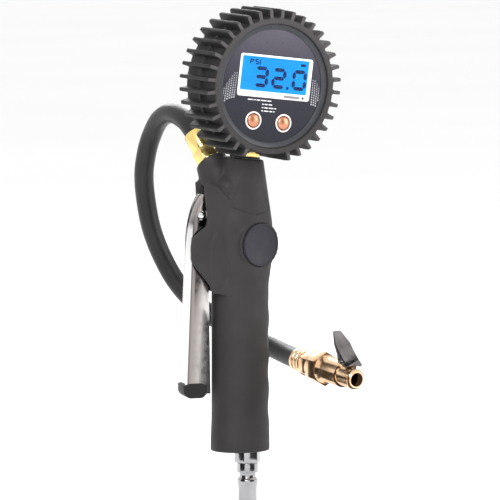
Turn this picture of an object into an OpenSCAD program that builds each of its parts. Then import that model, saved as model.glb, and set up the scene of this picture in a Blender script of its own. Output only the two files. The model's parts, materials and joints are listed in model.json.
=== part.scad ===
// Hand-held tyre inflator with a round digital gauge, a trigger lever and a whip hose.
// Millimetres. The origin is at the free end of the air inlet plug, on its axis, +Z up.
// The trigger lever is on the -X side and the side cap faces -Y.

/* [Air inlet plug] */
// Exposed length of the plug below the grip
plug_len = 30.5; // [29:0.5:32]
// Diameter of the plug barrel at its nose
plug_nose_d = 10.8; // [10.4:0.1:11.2]
// Width across flats of the plug hex
plug_hex = 14; // [13:0.5:15]
// Diameter of the thread shank inside the body
inlet_thread_d = 12.8; // [12:0.1:13.2]

/* [Grip] */
// Width of the grip, lever side to back
grip_w = 34.6; // [34:0.1:35]
// Thickness of the grip, side to side
grip_t = 29; // [28:0.5:30]
// Centre of the grip section along X
grip_x = -4.6; // [-5:0.1:-4]
// Height of the neck's top face above the plug's end
neck_z = 205.5; // [204:0.5:207]
// Radius of the neck at its top
neck_r = 11.2; // [10.8:0.1:12]

/* [Gauge head] */
// Lean of the neck port towards +X, degrees
head_tilt = 6.6; // [5:0.1:8]
// Turn of the gauge face towards +X, degrees
head_yaw = 14; // [10:0.5:16]
// Height of the gauge centre above the neck's top face
gauge_up = 44.5; // [44:0.5:46]
// Outer radius of the rubber boot without its fins
boot_r = 40; // [39.5:0.1:40.5]
// Height of a fin at the front of the boot
fin_h = 5.3; // [4:0.1:5.5]
// Thickness of a fin
fin_t = 2.3; // [1.8:0.1:2.8]
// Number of fin positions around the boot
fin_count = 36; // [36]
// Front face of the boot, ahead of the stem axis
boot_front = 26; // [25.5:0.5:27]
// Back face of the boot, behind the stem axis
boot_back = 9; // [9:0.5:10]

/* [Trigger] */
// Height of the trigger's pivot pin
pivot_z = 172.5; // [172:0.5:173]
// X of the trigger's pivot pin
pivot_x = -30.4; // [-30.6:0.1:-30.2]
// Width of the lever channel
lever_w = 14; // [13.5:0.1:14.2]
// Sheet thickness of the lever
sheet = 1.2; // [1:0.1:1.4]

/* [Hose] */
// Outer diameter of the hose
hose_d = 12; // [11.5:0.1:12]
// Bore of the tyre chuck's mouth
chuck_bore_d = 8.4; // [8.2:0.1:8.6]

/* [Hidden] */
$fn = 64;
eps = 0.01;
case_r = 37.2;
case_back = -7;
valve_z = 152;
column_x = -4;
barrel_r = 9;
barrel_x0 = -21;
barrel_x1 = 10.5;
chamber_r = 5;
lever_low_z = 66;
lever_front_x = -24.8;
lug_half = 5;
pin_r = 1.3;
lug_r = 2.1;
plunger_r = 2;
hose_port = [-19.2, 12, 202.7];
hose_lean = 22;
hose_back = 35;
fitting_out = 21;
seal_r = 5.2;
seal_end = 45.4;
chuck_at = [34, 8.5, 82.6];
chuck_polar = 94.8;
chuck_azimuth = -73.9;
cap_at = [4.2, -12.6, 154.6];
cap_yaw = 22;
lcd_mid_y = 5.2;
rim_z = 17;
lcd_mid_x = 1.5;
button_x = 10.3;
button_y = -21.2;
battery_d = 10.4;
stem_thread_r = 5;
screw_ring = 33.2;
screw_angles = [90, 210, 330];
// The hose's route between its two ferrules, from the handle's fitting to the chuck
hose_route = [
    [-29, 34, 226], [-33, 50, 229.5], [-36.5, 64, 225.5], [-38.5, 75, 216.5], [-40.5, 81.5, 205],
    [-41.5, 85.5, 190], [-39.5, 88, 173], [-35.5, 89, 155], [-29, 87.5, 138], [-21, 84, 123],
    [-12, 79, 112], [-1, 71, 102.5], [10, 61, 95], [19.5, 48, 90], [26.5, 34, 86.5],
    [31, 20, 84]
];

// ---------- places and small shapes ----------

// Neck port frame: z along the stem
module at_head() {
    translate([column_x + 2.3, 0, neck_z]) rotate([0, head_tilt, 0]) rotate([0, 0, head_yaw])
        children();
}

// Gauge frame: z out of the dial, x to the reader's right, y up
module at_gauge() {
    at_head() translate([0, 0, gauge_up]) rotate([90, 0, 0]) children();
}

// Hose port frame: z out of the boss
module at_hose_port() {
    translate(hose_port) rotate([-hose_back, -hose_lean, 0]) children();
}

// Chuck frame: z from the hose to the mouth
module at_chuck() {
    translate(chuck_at) rotate([0, chuck_polar, chuck_azimuth]) rotate([0, 0, 180]) children();
}

// Side cap frame: z out of the grip
module at_side_cap() {
    translate(cap_at) rotate([90, 0, cap_yaw]) children();
}

// Valve frame: z along +X
module at_valve() {
    translate([0, 0, valve_z]) rotate([0, 90, 0]) children();
}

module hex_prism(flats, h) {
    cylinder(d = flats / cos(30), h = h, $fn = 6);
}

module ring(r_out, r_in, h) {
    difference() {
        cylinder(r = r_out, h = h);
        translate([0, 0, -1]) cylinder(r = r_in, h = h + 2);
    }
}

// Thin oval slice of the grip: half width a, half thickness b
module oval(x, a, b, z) {
    translate([x, 0, z]) scale([a / b, 1, 1]) cylinder(r = b, h = 0.5, $fn = 40);
}

module plate(w, h, t, r) {
    linear_extrude(t) union() {
        square([w - 2 * r, h], center = true);
        square([w, h - 2 * r], center = true);
        for (x = [-1, 1], y = [-1, 1])
            translate([x * (w / 2 - r), y * (h / 2 - r)]) circle(r = r, $fn = 32);
    }
}

// ---------- air inlet ----------

module inlet_plug() {
    nose = plug_nose_d / 2;
    thread = inlet_thread_d / 2;
    color("silver") difference() {
        union() {
            rotate_extrude() polygon([
                [0, 0], [nose, 0], [nose, 7], [nose + 0.6, 11.6],
                [nose + 0.6, 12.8], [nose - 0.5, 14], [nose - 0.5, 17], [nose + 0.5, 17],
                [nose + 0.9, 17.5], [nose + 0.9, 22.6], [nose + 0.4, 23.2], [0, 23.2]
            ]);
            translate([0, 0, 23.2]) hex_prism(plug_hex, plug_len - 23.2);
            translate([0, 0, plug_len - eps]) cylinder(r = thread, h = 11.5);
        }
        translate([0, 0, -1]) cylinder(r = 3, h = 60);
        translate([0, 0, plug_len + 8.5]) cylinder(r = 4.5, h = 10);
    }
}

module inlet_strainer() {
    color("lightgray") translate([0, 0, plug_len + 8.5]) difference() {
        cylinder(r = 4.5, h = 2);
        for (a = [0 : 60 : 300]) rotate([0, 0, a]) translate([2.8, 0, -1])
            cylinder(r = 0.8, h = 4, $fn = 24);
        translate([0, 0, -1]) cylinder(r = 0.8, h = 4, $fn = 24);
    }
}

// ---------- valve body and grip ----------

// Outside of the cast body, before it is drilled
module body_outside() {
    translate([0, 0, plug_len]) cylinder(r = 9.5, h = valve_z - plug_len);
    at_valve() translate([0, 0, barrel_x0]) cylinder(r = barrel_r, h = barrel_x1 - barrel_x0);
    translate([column_x, 0, valve_z]) cylinder(r = 8.6, h = 36);
    at_head() translate([0, 0, -24]) cylinder(r = 9, h = 24);
    at_hose_port() translate([0, 0, -23]) cylinder(r = 7.2, h = 21.5);
    translate([pivot_x, lug_half, pivot_z]) rotate([90, 0, 0])
        cylinder(r = lug_r, h = 2 * lug_half);
    translate([pivot_x, -lug_half, pivot_z - lug_r + 0.2])
        cube([column_x - pivot_x, 2 * lug_half, 2 * lug_r - 0.4]);
}

module body_bores() {
    thread = inlet_thread_d / 2;
    translate([0, 0, plug_len - 1]) cylinder(r = thread, h = 12.5);
    translate([0, 0, plug_len]) cylinder(r = 3, h = valve_z - plug_len);
    at_valve() translate([0, 0, -12]) cylinder(r = chamber_r, h = 30);
    at_valve() translate([0, 0, barrel_x0 - 1]) cylinder(r = 6.5, h = 10);
    translate([-8.4, 0, valve_z]) cylinder(r = 1.8, h = 34);
    at_head() translate([0, 0, -12]) cylinder(r = 6.5, h = 13);
    at_head() translate([0, 0, -24]) cylinder(r = 2.5, h = 20);
    at_hose_port() translate([0, 0, -13.5]) cylinder(r = 5, h = 14);
    at_hose_port() translate([0, 0, -22]) cylinder(r = 2.2, h = 12);
    translate([pivot_x, 20, pivot_z]) rotate([90, 0, 0]) cylinder(r = pin_r, h = 40);
}

module valve_body() {
    color("gray") difference() {
        body_outside();
        body_bores();
    }
}

// Side outline, in X and Z, of the rubber wall that guards the lever
cheek_outline = [
    [-12, 178], [-17, 185], [-22, 190], [-26.5, 192.4], [-29.4, 190.4], [-29, 184], [-27.6, 172],
    [-28.2, 166.5], [-31, 164.3], [-34, 162], [-37.2, 158.6], [-39.2, 154.6], [-39.2, 150.4],
    [-37.6, 146], [-34.4, 141], [-30.4, 136.2], [-26.8, 131.6], [-24, 126], [-12, 124]
];

// One wall, cut off in front of the given X
module cheek(side, front_x) {
    translate([0, side * 10.2, 0]) rotate([90, 0, 0]) linear_extrude(3.4, center = true)
        polygon([for (p = cheek_outline) [max(p.x, front_x), p.y]]);
}

// Outside of the moulded rubber grip
module sleeve_outside() {
    a = grip_w / 2;
    b = grip_t / 2;
    hull() {
        oval(grip_x, a + 0.6, b + 0.6, plug_len);
        oval(grip_x, a + 0.5, b + 0.5, plug_len + 8);
        oval(grip_x, a, b, plug_len + 20);
    }
    translate([grip_x, 0, plug_len + 20]) scale([a / b, 1, 1])
        cylinder(r = b, h = 110.5 - plug_len, $fn = 40);
    hull() {
        oval(grip_x, a, b, 130);
        oval(grip_x - 0.4, a + 3, b + 0.7, 148);
        oval(grip_x - 0.3, a + 2.6, b + 0.5, 166);
    }
    hull() {
        oval(grip_x - 0.3, a + 2.6, b + 0.5, 166);
        at_head() translate([0, 0, -0.5]) cylinder(r = neck_r, h = 0.5, $fn = 40);
        at_head() translate([0, 0, -18]) cylinder(r = neck_r + 1.6, h = 0.5, $fn = 40);
    }
    hull() {
        at_hose_port() translate([0, 0, -11]) cylinder(r = 9.6, h = 11, $fn = 40);
        translate([-13.5, 0, 170]) sphere(r = 10.5, $fn = 32);
    }
    cheek(-1, -37.8);
    cheek(1, -35.5);
    at_side_cap() translate([0, 0, -9]) cylinder(r = 14.4, h = 9);
}

module grip_sleeve() {
    slot_half = lever_w / 2 + 0.8;
    slot_floor_x = -22.6;
    color("dimgray") difference() {
        sleeve_outside();
        body_outside();
        translate([-60, -slot_half, 118]) cube([60 + slot_floor_x, 2 * slot_half, 71]);
        at_valve() translate([0, 0, -30]) cylinder(r = 6, h = 12);
        at_hose_port() translate([0, 0, -2]) cylinder(r = 8.3, h = 6);
        at_head() translate([0, 0, -2]) cylinder(r = 9, h = 4);
        at_side_cap() translate([0, 0, -1]) cylinder(r = 12.6, h = 5);
    }
}

module side_cap() {
    color("dimgray") at_side_cap() union() {
        translate([0, 0, -1]) cylinder(r = 12.6, h = 2.1);
        translate([0, 0, 1.1 - eps]) ring(12.6, 11.8, 0.5);
    }
}

// ---------- trigger ----------

// Back of the lever: a straight run that bends over towards the neck, from low to high
function bow(a, b, c, t) = (1 - t) * (1 - t) * a + 2 * t * (1 - t) * b + t * t * c;
lever_low = [-40.3, lever_low_z];
lever_bend = [-37, 152];
lever_knee = [-36, 174];
lever_top = [-28.9, 184.6];
lever_back = concat([lever_low], [for (i = [0 : 12]) bow(lever_bend, lever_knee, lever_top, i / 12)]);
function flat_normal(p, q) = let (d = (q - p) / norm(q - p)) [d.y, -d.x];
function inset(pts, t) = [for (i = [0 : len(pts) - 1])
    pts[i] + t * flat_normal(pts[max(i - 1, 0)], pts[min(i + 1, len(pts) - 1)])];

module lever_side() {
    difference() {
        union() {
            polygon(concat([for (p = lever_back) if (p.y < 166) p],
                [[-26.4, 165.2], [lever_front_x, lever_low_z]]));
            polygon(concat(lever_back, [for (i = [len(lever_back) - 1 : -1 : 0]) inset(lever_back, 3.4)[i]]));
            translate([pivot_x, pivot_z]) circle(r = 3);
        }
        translate([pivot_x, pivot_z]) circle(r = pin_r + 0.06);
    }
}

module trigger_lever() {
    color("gainsboro") translate([0, lever_w / 2, 0]) rotate([90, 0, 0]) {
        linear_extrude(sheet) lever_side();
        translate([0, 0, lever_w - sheet]) linear_extrude(sheet) lever_side();
        translate([0, 0, sheet / 2]) linear_extrude(lever_w - sheet) polygon(concat(lever_back,
            [for (i = [len(lever_back) - 1 : -1 : 0]) inset(lever_back, sheet)[i]]));
    }
}

module lever_tip() {
    tip_half = lever_w / 2 + 0.4;
    low = lever_low_z - 2.5;
    color("black") difference() {
        translate([0, tip_half, 0]) rotate([90, 0, 0]) linear_extrude(2 * tip_half) hull() {
            for (x = [-36.7, -31.4]) translate([x, low + 4.4]) circle(r = 4.4);
            translate([-41.1, low + 4.4]) square([14.1, 3.4]);
        }
        trigger_lever();
    }
}

module lever_pin() {
    half = lever_w / 2;
    color("silver") translate([pivot_x, half + 0.2, pivot_z]) rotate([90, 0, 0]) union() {
        cylinder(r = pin_r, h = lever_w + 0.4);
        translate([0, 0, lever_w + 0.35]) cylinder(r1 = 2.2, r2 = 1.6, h = 0.8);
        translate([0, 0, -0.6]) cylinder(r1 = 1.6, r2 = 2.2, h = 0.65);
    }
}

// ---------- valve ----------

module valve_plunger() {
    color("gold") at_valve() union() {
        translate([0, 0, -33.6]) cylinder(r = plunger_r, h = 31.3);
        translate([0, 0, -33.6]) intersection() {
            sphere(r = plunger_r);
            translate([0, 0, -plunger_r]) cylinder(r = plunger_r + 1, h = plunger_r);
        }
    }
}

module plunger_gland() {
    color("gold") at_valve() difference() {
        union() {
            translate([0, 0, barrel_x0]) cylinder(r = 6.5, h = 9);
            translate([0, 0, barrel_x0 - 2]) hex_prism(9, 2 + eps);
        }
        translate([0, 0, barrel_x0 - 3]) cylinder(r = plunger_r + 0.05, h = 14);
    }
}

module gland_seal() {
    color("black") at_valve() translate([0, 0, -12]) ring(chamber_r, plunger_r + 0.05, 1.6);
}

module valve_seat() {
    color("gold") at_valve() translate([0, 0, -6]) ring(chamber_r, 3.2, 2.4);
}

module valve_poppet() {
    color("gold") at_valve() union() {
        translate([0, 0, -2.3]) cylinder(r = 4.2, h = 1.8);
        translate([0, 0, -0.6]) cylinder(r = 1.3, h = 4.6);
    }
}

module poppet_seal() {
    color("black") at_valve() translate([0, 0, -3.5]) difference() {
        cylinder(r = 4.2, h = 1.2);
        translate([0, 0, -1]) cylinder(r = plunger_r, h = 3);
    }
}

function coil_point(t, r, rise, turns) = [r * cos(360 * turns * t), r * sin(360 * turns * t), rise * t];

// Round wire wound along z
module coil(r, rise, turns, wire) {
    steps = turns * 14;
    sides = 6;
    centres = [for (i = [0 : steps]) coil_point(i / steps, r, rise, turns)];
    points = [for (i = [0 : steps], j = [0 : sides - 1])
        let (a = 360 * turns * i / steps, b = 360 * j / sides)
        centres[i] + wire / 2 * [cos(b) * cos(a), cos(b) * sin(a), sin(b)]];
    walls = [for (i = [0 : steps - 1], j = [0 : sides - 1])
        [i * sides + j, i * sides + (j + 1) % sides, (i + 1) * sides + (j + 1) % sides, (i + 1) * sides + j]];
    polyhedron(points, concat(walls,
        [[for (j = [sides - 1 : -1 : 0]) j]],
        [[for (j = [0 : sides - 1]) steps * sides + j]]), convexity = 10);
}

module valve_spring() {
    color("silver") at_valve() coil(3.2, 6.4, 5, 0.7);
}

module valve_end_plug() {
    color("gold") at_valve() difference() {
        translate([0, 0, 7]) cylinder(r = chamber_r, h = barrel_x1 - 7);
        translate([0, 0, 6]) cylinder(r = 1.6, h = 3);
        translate([0, 0, barrel_x1 - 1.8]) hex_prism(4, 3);
    }
}

// ---------- hose, its fittings and the chuck ----------

module hose_fitting() {
    color("khaki") at_hose_port() difference() {
        union() {
            translate([0, 0, -13]) cylinder(r = 5, h = 14);
            translate([0, 0, -1.5]) cylinder(r = 7.2, h = 2.5);
            translate([0, 0, 1]) hex_prism(14, 7.5);
            translate([0, 0, 8]) cylinder(r = 3.2, h = fitting_out - 8);
        }
        translate([0, 0, -20]) cylinder(r = 2.2, h = 60);
    }
}

// Crimped collar with two pressed grooves, z from 0 to its mouth
module crimp(r_out, r_in, h) {
    rotate_extrude() polygon([
        [r_in, 0], [r_out - 0.6, 0], [r_out, 0.6], [r_out, h * 0.3], [r_out - 0.6, h * 0.36],
        [r_out - 0.6, h * 0.44], [r_out, h * 0.5], [r_out, h * 0.66], [r_out - 0.6, h * 0.72],
        [r_out - 0.6, h * 0.8], [r_out, h * 0.86], [r_out - 0.3, h], [r_in, h]
    ]);
}

module hose_ferrule() {
    color("khaki") at_hose_port() translate([0, 0, 8.5]) ring(7.1, 3.2, fitting_out - 8.5);
}

function unit(v) = v / norm(v);
function turned(v, r) = let (
    a = [v.x, v.y * cos(r.x) - v.z * sin(r.x), v.y * sin(r.x) + v.z * cos(r.x)],
    b = [a.x * cos(r.y) + a.z * sin(r.y), a.y, a.z * cos(r.y) - a.x * sin(r.y)])
    [b.x * cos(r.z) - b.y * sin(r.z), b.x * sin(r.z) + b.y * cos(r.z), b.z];
function smooth(p0, p1, p2, p3, t) = 0.5 * (2 * p1 + (p2 - p0) * t
    + (2 * p0 - 5 * p1 + 4 * p2 - p3) * t * t + (3 * p1 - p0 - 3 * p2 + p3) * t * t * t);

port_dir = turned([0, 0, 1], [-hose_back, -hose_lean, 0]);
chuck_dir = turned([0, 0, 1], [0, chuck_polar, chuck_azimuth]);
hose_start = hose_port + fitting_out * port_dir;
hose_knots = concat([hose_start - 12 * port_dir, hose_start], hose_route,
    [chuck_at, chuck_at + 12 * chuck_dir]);
hose_line = concat([for (i = [1 : len(hose_knots) - 3], k = [0, 1])
    smooth(hose_knots[i - 1], hose_knots[i], hose_knots[i + 1], hose_knots[i + 2], k / 2)], [chuck_at]);

// Round tube swept along a line of points, with its two end faces square to the given directions
module swept(line, r, sides, first_dir, last_dir) {
    last = len(line) - 1;
    function along(i) = i == 0 ? first_dir : i == last ? last_dir : unit(line[i + 1] - line[i - 1]);
    points = [for (i = [0 : last], j = [0 : sides - 1])
        let (u = unit(cross(along(i), [1, 0, 0])), v = cross(along(i), u), a = 360 * j / sides)
        line[i] + r * (cos(a) * u + sin(a) * v)];
    walls = [for (i = [0 : last - 1], j = [0 : sides - 1])
        [i * sides + j, (i + 1) * sides + j, (i + 1) * sides + (j + 1) % sides, i * sides + (j + 1) % sides]];
    polyhedron(points, concat(walls,
        [[for (j = [0 : sides - 1]) j]],
        [[for (j = [sides - 1 : -1 : 0]) last * sides + j]]), convexity = 10);
}

module hose() {
    color("black") swept(hose_line, hose_d / 2, 12, port_dir, chuck_dir);
}

module chuck_ferrule() {
    color("goldenrod") at_chuck() union() {
        crimp(7, 3.2, 10);
        translate([0, 0, 10]) ring(8, 3.2, 2);
    }
}

module hose_nut() {
    color("goldenrod") at_chuck() translate([0, 0, 12]) difference() {
        intersection() {
            hex_prism(15, 8);
            cylinder(r1 = 8.1, r2 = 9.4, h = 8);
        }
        translate([0, 0, -1]) cylinder(r = 3.2, h = 10);
    }
}

module chuck_body() {
    color("goldenrod") at_chuck() difference() {
        union() {
            cylinder(r = 3.2, h = 24);
            translate([0, 0, 20]) intersection() {
                hex_prism(18, 11);
                cylinder(r1 = 8.6, r2 = 12, h = 11);
            }
            translate([0, 0, 31]) cylinder(r1 = 8.6, r2 = 7.2, h = 4);
            translate([0, 0, 35]) cylinder(r = 7.2, h = 15);
            translate([0, 0, 50]) cylinder(r = 6, h = 12.4);
            translate([0, 0, 62.4]) cylinder(r1 = 6, r2 = 5, h = 1.6);
            clip_lug();
        }
        translate([0, 0, -1]) cylinder(r = 2, h = 40);
        translate([0, 0, 36]) cylinder(r = seal_r, h = seal_end - 36);
        translate([0, 0, seal_end - eps]) cylinder(r = chuck_bore_d / 2, h = 40);
        clip_slot();
        translate([clip_pivot.x, 0, clip_pivot.y]) rotate([90, 0, 0])
            cylinder(r = 1, h = 20, center = true, $fn = 32);
    }
}

// Lug on the barrel that carries the clip's pin
module clip_lug() {
    translate([5, -2.1, clip_pivot.y - 1.9]) cube([clip_pivot.x - 5, 4.2, 3.8]);
    translate([clip_pivot.x, 2.1, clip_pivot.y]) rotate([90, 0, 0]) cylinder(r = 1.9, h = 4.2);
}

// Window in the chuck's wall where the clip's toe reaches the valve thread
module clip_slot() {
    translate([2.6, -2.2, 57.2]) cube([8, 4.4, 4.4]);
}

module chuck_seal() {
    color("black") at_chuck() translate([0, 0, seal_end - 4.4]) ring(seal_r, 1.7, 4);
}

module chuck_pin() {
    color("gold") at_chuck() difference() {
        union() {
            translate([0, 0, 36]) cylinder(r = seal_r, h = 2.4);
            translate([0, 0, 38.3]) cylinder(r = 1.2, h = 6.5);
        }
        for (a = [0 : 90 : 270]) rotate([0, 0, a]) translate([2.9, 0, 35])
            cylinder(r = 0.8, h = 6, $fn = 24);
    }
}

clip_pivot = [9, 54];
clip_half = 5.2;

// Side outline of the thumb clip, in (radial, along) coordinates
module clip_side() {
    difference() {
        polygon([[6.9, 60], [8.2, 61.4], [10.8, 57.2], [15.6, 51], [19.6, 46.8], [18.4, 45.6],
                 [13, 49.4], [8.4, 50.8], [7.3, 54]]);
        translate(clip_pivot) circle(r = 1.06, $fn = 32);
    }
}

module clip_web() {
    polygon([[7.4, 60.6], [8.2, 61.4], [10.8, 57.2], [15.6, 51], [25.2, 40.9], [24.4, 40.2],
             [14.8, 50.2], [9.9, 56.5]]);
}

module chuck_clip() {
    half = clip_half;
    color("darkgray") at_chuck() intersection() {
        rotate([90, 0, 0]) union() {
            for (side = [-1, 1]) translate([0, 0, side * (half - 0.5) - 0.5])
                linear_extrude(1) clip_side();
            translate([0, 0, -half]) linear_extrude(2 * half) clip_web();
            translate([0, 0, -1.6]) linear_extrude(3.2)
                polygon([[4.9, 58.6], [8.2, 60], [7.8, 61], [4.9, 59.8]]);
        }
        linear_extrude(70) polygon([
            [2, -half], [19, -half], [26, -2], [26, 2], [19, half], [2, half]
        ]);
    }
}

module clip_pin() {
    color("silver") at_chuck() translate([clip_pivot.x, 0, clip_pivot.y]) rotate([90, 0, 0])
        cylinder(r = 1, h = 2 * clip_half + 1, center = true, $fn = 32);
}

module clip_spring() {
    color("silver") at_chuck() translate([clip_pivot.x, 2.3, clip_pivot.y]) rotate([-90, 0, 0])
        coil(1.7, 1.5, 2, 0.5);
}

// ---------- gauge head ----------

module gauge_stem() {
    color("gold") at_head() difference() {
        union() {
            translate([0, 0, -11.8]) cylinder(r = 6.5, h = 13.2);
            translate([0, 0, 1.2]) hex_prism(17, 3.9);
            translate([0, 0, 5]) cylinder(r = stem_thread_r, h = 13);
        }
        translate([0, 0, -15]) cylinder(r = 1.8, h = 40);
    }
}

module stem_seal() {
    color("black") at_head() ring(9, 6.5, 1.2);
}

module gauge_case() {
    color("darkslategray") difference() {
        union() {
            at_gauge() translate([0, 0, case_back]) difference() {
                cylinder(r = case_r, h = rim_z - case_back);
                translate([0, 0, 1.8]) cylinder(r = case_r - 1.8, h = 30);
                translate([0, 10.5, -1]) plate(52, 27, 4, 3);
            }
            intersection() {
                at_head() translate([0, 0, 4]) cylinder(r = 6.6, h = 14);
                at_gauge() translate([0, 0, case_back]) cylinder(r = case_r, h = rim_z - case_back);
            }
            at_gauge() for (a = screw_angles) rotate([0, 0, a]) translate([screw_ring, 0, case_back])
                cylinder(r = 2.6, h = rim_z - case_back, $fn = 32);
        }
        at_head() translate([0, 0, 1]) cylinder(r = stem_thread_r, h = 30);
        at_gauge() for (a = screw_angles) rotate([0, 0, a]) translate([screw_ring, 0, case_back - 1])
            cylinder(r = 1.4, h = 30, $fn = 24);
    }
}

// A fin is missing beside the stem, and the fin angles are counted from the reader's right
function has_fin(a) = a < 255 || a > 285;

module boot_fin() {
    tip = boot_r + fin_h;
    translate([0, fin_t / 2, 0]) rotate([90, 0, 0]) linear_extrude(fin_t) polygon([
        [boot_r - 1, boot_front], [tip, boot_front], [tip + 0.3, boot_front - 5],
        [tip + 0.3, 1 - boot_back], [tip - 0.7, -boot_back], [boot_r - 1, -boot_back]
    ]);
}

module gauge_boot() {
    color("dimgray") difference() {
        at_gauge() union() {
            translate([0, 0, -boot_back]) cylinder(r = boot_r, h = boot_front + boot_back);
            translate([0, 0, 7]) cylinder(r = boot_r + 1.6, h = 3);
            for (i = [0 : fin_count - 1]) if (has_fin(i * 360 / fin_count))
                rotate([0, 0, i * 360 / fin_count]) boot_fin();
        }
        at_gauge() translate([0, 0, case_back]) cylinder(r = case_r, h = 24.2 - case_back);
        at_gauge() translate([0, 0, -boot_back - 1]) cylinder(r = 31, h = 6);
        at_gauge() translate([0, 0, 24]) cylinder(r1 = 35.8, r2 = 37, h = 2.01);
        at_head() translate([0, 0, -6]) cylinder(r = 10.3, h = 14);
    }
}

module bezel_ring() {
    color("slategray") at_gauge() difference() {
        rotate_extrude() polygon([
            [30.6, rim_z], [case_r, rim_z], [case_r, 24.2], [36.4, 24.2], [33.4, 22.9], [33.4, 22.5],
            [35.2, 22.5], [35.2, 21.7], [33.8, 21.7], [33.8, 19.5], [30.6, 19.5]
        ]);
        for (a = screw_angles) rotate([0, 0, a]) translate([screw_ring, 0, rim_z - 1])
            cylinder(r = 1.4, h = 3, $fn = 24);
    }
}

module dial_plate() {
    color("darkslateblue") at_gauge() translate([0, 0, 21.7]) difference() {
        cylinder(r = 35.2, h = 0.8);
        translate([lcd_mid_x, lcd_mid_y, -1]) plate(49.4, 25, 3, 1.5);
        for (x = [-button_x, button_x]) translate([x, button_y, -1]) cylinder(r = 4.4, h = 3);
    }
}

module lcd_frame() {
    color("white") at_gauge() translate([lcd_mid_x, lcd_mid_y, 20.5]) difference() {
        plate(49.4, 25, 2.2, 1.5);
        translate([0, 1.2, -1]) plate(46.4, 20.2, 5, 0.8);
    }
}

module lcd_window() {
    color("deepskyblue") at_gauge() translate([lcd_mid_x, lcd_mid_y + 1.2, 21.4]) plate(46.4, 20.2, 0.8, 0.8);
}

module lcd_panel() {
    color("deepskyblue") at_gauge() translate([lcd_mid_x, lcd_mid_y, 18.3]) plate(47, 24, 2.2, 0.5);
}

module backlight_panel() {
    color("lightcyan") at_gauge() translate([lcd_mid_x, lcd_mid_y, 16.5]) plate(47, 24, 1.8, 0.5);
}

module lcd_carrier() {
    color("ivory") at_gauge() translate([lcd_mid_x, lcd_mid_y, 10.6]) difference() {
        plate(46, 25, 5.9, 1);
        translate([0, 0, -1]) plate(42, 21, 8, 1);
    }
}

module circuit_board() {
    color("green") at_gauge() translate([0, 0, 9]) difference() {
        cylinder(r = 30.4, h = 1.6);
        for (x = [-26, 26]) translate([x, -8, -1]) cylinder(r = 1.3, h = 4, $fn = 24);
    }
}

module push_button() {
    rotate_extrude() polygon([
        [0, 14], [2.2, 14], [2.2, 19.4], [5.6, 19.4], [5.6, 20.6], [4.1, 20.6], [4.1, 22.9],
        [3.7, 23.6], [2.8, 24.1], [1.5, 24.4], [0, 24.5]
    ]);
}

module power_button() {
    color("peru") at_gauge() translate([-button_x, button_y, 0]) push_button();
}

module light_button() {
    color("peru") at_gauge() translate([button_x, button_y, 0]) push_button();
}

module button_rims() {
    color("mistyrose") at_gauge() for (x = [-button_x, button_x])
        translate([x, button_y, 22.5]) ring(5.4, 4.4, 0.6);
}

module tact_switches() {
    color("black") at_gauge() for (x = [-button_x, button_x]) translate([x, button_y, 10.6]) union() {
        translate([-3, -3, 0]) cube([6, 6, 1.8]);
        cylinder(r = 1.6, h = 2.4, $fn = 32);
    }
}

module pressure_sensor() {
    color("silver") at_head() translate([0, 0, 18]) union() {
        cylinder(r = 4.9, h = 8);
        translate([-4, -8.6, 2]) cube([8, 6, 5]);
    }
}

module batteries() {
    color("orange") at_gauge() for (y = [5, 16]) translate([-21.5, y, 0.4]) rotate([0, 90, 0]) union() {
        cylinder(d = battery_d, h = 42.4);
        translate([0, 0, 42.3]) cylinder(r = 2, h = 1.2);
    }
}

module battery_contacts() {
    color("silver") at_gauge() for (x = [-22.1, 22])
        translate([x, -1, -4.6]) cube([0.5, 23, 9.6]);
}

module battery_cover() {
    color("darkslategray") at_gauge() translate([0, 10.5, case_back]) difference() {
        plate(51.6, 26.6, 1.8, 2.8);
        for (x = [-23, 23]) translate([x, -8, -1]) cylinder(r = 1.1, h = 4, $fn = 24);
        for (i = [-2 : 2]) translate([-8, i * 2.4 - 0.5, -0.1]) cube([16, 1, 0.6]);
    }
}

module screw(head_r, shank_r, length) {
    difference() {
        union() {
            translate([0, 0, -1.2]) cylinder(r = head_r, h = 1.2, $fn = 32);
            translate([0, 0, -eps]) cylinder(r = shank_r, h = length, $fn = 24);
        }
        for (a = [0, 90]) rotate([0, 0, a]) translate([-head_r * 0.7, -0.3, -1.3])
            cube([head_r * 1.4, 0.6, 0.8]);
    }
}

module cover_screws() {
    color("silver") at_gauge() for (x = [-23, 23]) translate([x, 2.5, case_back]) screw(1.9, 1.1, 1.8);
}

module case_screws() {
    color("silver") at_gauge() for (a = screw_angles) rotate([0, 0, a])
        translate([screw_ring, 0, case_back])
            cylinder(r = 1.4, h = rim_z + 2 - case_back, $fn = 24);
}

inlet_plug();
inlet_strainer();
valve_body();
grip_sleeve();
side_cap();
trigger_lever();
lever_tip();
lever_pin();
valve_plunger();
plunger_gland();
gland_seal();
valve_seat();
valve_poppet();
poppet_seal();
valve_spring();
valve_end_plug();
hose_fitting();
hose_ferrule();
hose();
chuck_ferrule();
hose_nut();
chuck_body();
chuck_seal();
chuck_pin();
chuck_clip();
clip_pin();
clip_spring();
gauge_stem();
stem_seal();
gauge_case();
gauge_boot();
bezel_ring();
dial_plate();
lcd_frame();
lcd_window();
lcd_panel();
backlight_panel();
lcd_carrier();
circuit_board();
power_button();
light_button();
button_rims();
tact_switches();
pressure_sensor();
batteries();
battery_contacts();
battery_cover();
cover_screws();
case_screws();
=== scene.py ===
import json
import math
import bmesh
import bpy
import numpy as np
from mathutils import Matrix, Vector


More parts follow.
